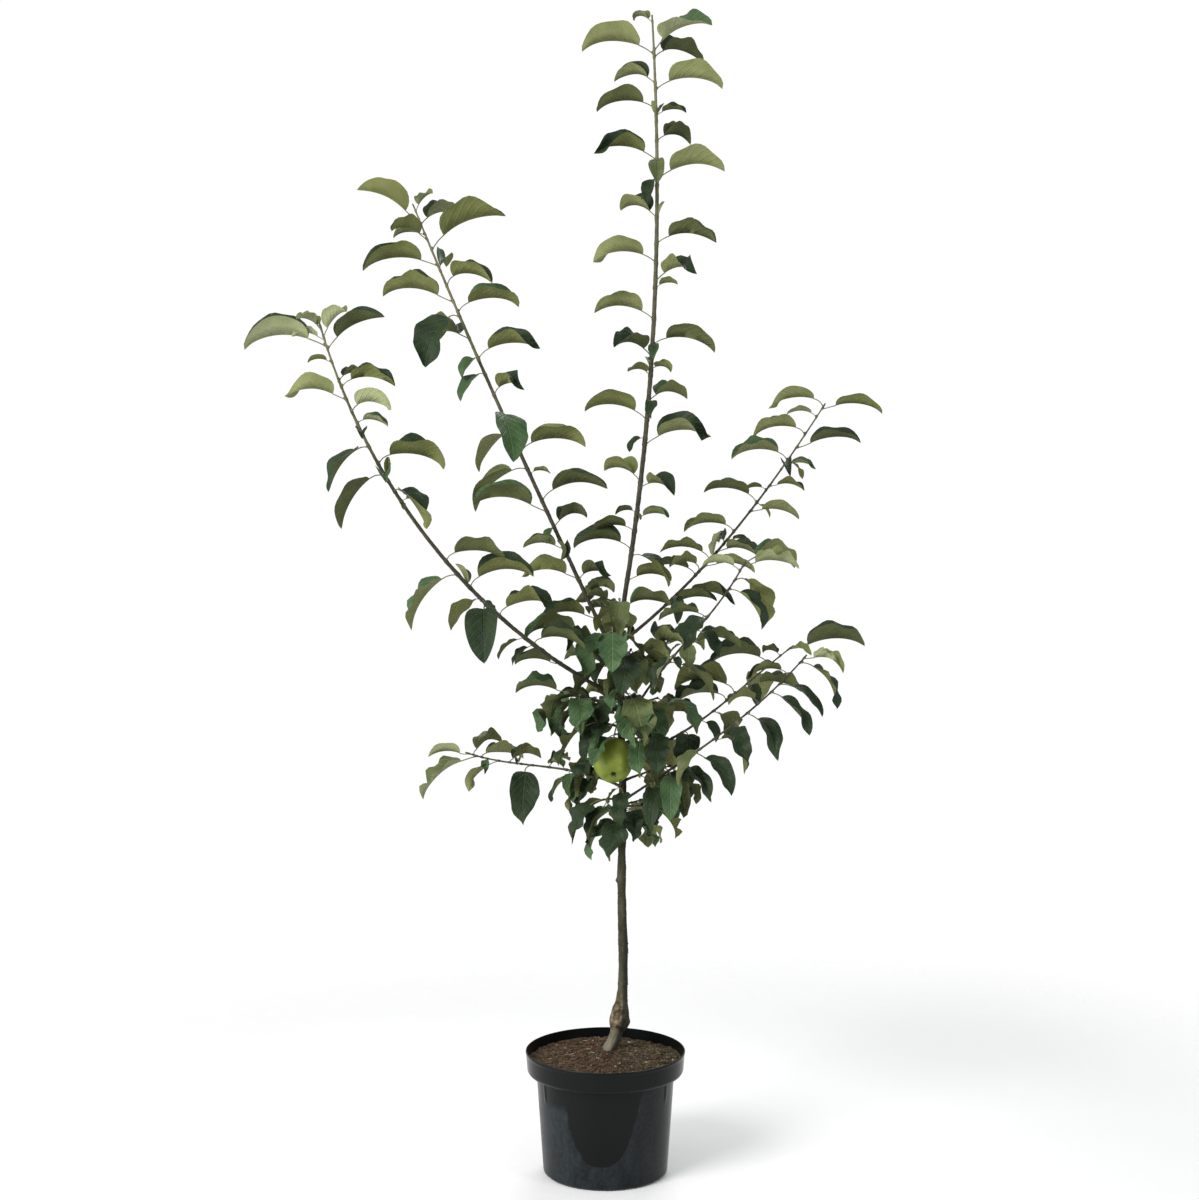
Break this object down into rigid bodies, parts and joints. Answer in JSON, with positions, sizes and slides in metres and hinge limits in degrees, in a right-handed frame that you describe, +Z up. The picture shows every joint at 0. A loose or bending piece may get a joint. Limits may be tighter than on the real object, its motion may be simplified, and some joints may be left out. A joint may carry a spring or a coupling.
{
  "type": "potted apple tree",
  "caption": "Young potted apple tree: slender trunk with a swollen graft union, long whip-like boughs, a leafy inner crown that bears fruit, and a black nursery pot filled with soil.",
  "frame": {"origin": "centre of the pot's flat underside, on the floor", "axes": "+Z up; -Y is the front, the side that the picture shows; +X is the right side of the picture"},
  "size_m": [1.0108, 0.6663, 1.8762],
  "materials": {
    "pot_plastic": "moulded black plastic with a soft sheen",
    "soil": "crumbly brown potting soil with bark chips",
    "bark": "thin olive-grey bark, rougher at the foot",
    "foliage": "leaves, dark green above and paler below, on green-brown twigs"
  },
  "bodies": {
    "root": {"bough_back_right": "bark", "bough_leader": "bark", "bough_lower_left": "bark", "bough_lower_right": "bark", "bough_middle_right": "bark", "bough_outer_left": "bark", "bough_upper_left": "bark", "bough_upper_right": "bark", "pot": "pot_plastic", "shoot_back_right": "foliage", "shoot_leader": "foliage", "shoot_lower_left": "foliage", "shoot_lower_right": "foliage", "shoot_middle_right": "foliage", "shoot_outer_left": "foliage", "shoot_upper_left": "foliage", "shoot_upper_right": "foliage", "soil": "soil", "spur_back_foot": "foliage", "spur_back_high": "foliage", "spur_back_low": "foliage", "spur_back_middle": "foliage", "spur_back_top": "foliage", "spur_front_crown": "foliage", "spur_front_foot": "foliage", "spur_front_high": "foliage", "spur_front_low": "foliage", "spur_front_middle": "foliage", "spur_front_upper": "foliage", "spur_fruit": "foliage", "spur_left_back": "foliage", "spur_left_crown": "foliage", "spur_left_fruit": "foliage", "spur_left_high": "foliage", "spur_left_low": "foliage", "spur_left_middle": "foliage", "spur_left_rear": "foliage", "spur_right_back": "foliage", "spur_right_foot": "foliage", "spur_right_fruit": "foliage", "spur_right_high": "foliage", "spur_right_low": "foliage", "spur_right_middle": "foliage", "trunk": "bark"}
  },
  "joints": []
}
